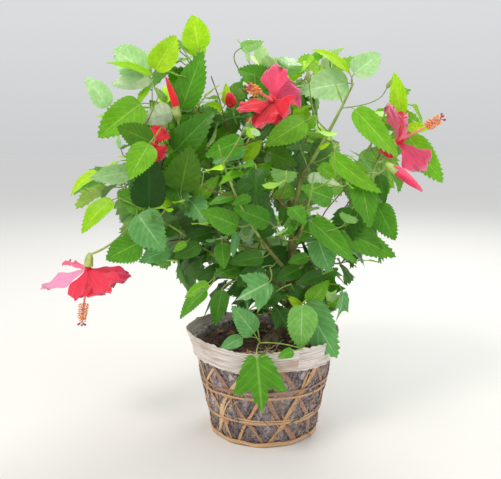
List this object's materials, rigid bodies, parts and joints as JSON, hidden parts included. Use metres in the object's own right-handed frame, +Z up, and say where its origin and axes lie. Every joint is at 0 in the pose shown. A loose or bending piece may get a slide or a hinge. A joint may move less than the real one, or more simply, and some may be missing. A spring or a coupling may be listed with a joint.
{
  "type": "hibiscus shrub",
  "caption": "Young red-flowered hibiscus shrub with several leafy shoots, growing in an open bamboo nursery basket.",
  "frame": {"origin": "middle of the basket's flat underside, on the surface the basket stands on", "axes": "+Z up, -Y the front as pictured, +X the side the main stem leans to"},
  "size_m": [0.5997, 0.4648, 0.64],
  "materials": {
    "coir": "matt coconut fibre",
    "bamboo": "split, unfinished",
    "palm_sheath": "dry fibrous sheath",
    "bark": "rough bark",
    "foliage": "waxy leaf",
    "petals": "satin petal"
  },
  "bodies": {
    "root": {"root_ball": "coir", "bamboo_weave": "bamboo", "bamboo_hoop_foot": "bamboo", "bamboo_hoop_lower": "bamboo", "bamboo_hoop_middle": "bamboo", "palm_sheath_band": "palm_sheath", "trunk": "bark", "bough_left_top": "bark", "bough_left_upper": "bark", "bough_left_lower": "bark", "bough_centre_top": "bark", "bough_right_top": "bark", "bough_right_outer": "bark", "bough_right_lower": "bark", "bough_front_middle": "bark", "bough_front_right": "bark", "bough_low_right": "bark", "bough_low_left": "bark", "bough_back_left": "bark", "bough_back_right": "bark", "bough_back_low": "bark", "bough_back_top": "bark", "flower_left_hanging": "petals", "flower_right": "petals", "flower_top": "petals", "flower_left_upper": "petals", "bud_left": "petals", "bud_centre": "petals", "spent_flower_right": "petals", "foliage_left_top": "foliage", "foliage_left_upper": "foliage", "foliage_left_lower": "foliage", "foliage_centre_top": "foliage", "foliage_right_top": "foliage", "foliage_right_outer": "foliage", "foliage_right_lower": "foliage", "foliage_front_middle": "foliage", "foliage_front_right": "foliage", "foliage_low_front": "foliage", "foliage_low_right": "foliage", "foliage_low_left": "foliage", "foliage_back_left": "foliage", "foliage_back_right": "foliage", "foliage_back_low": "foliage", "foliage_back_top": "foliage"}
  },
  "joints": []
}
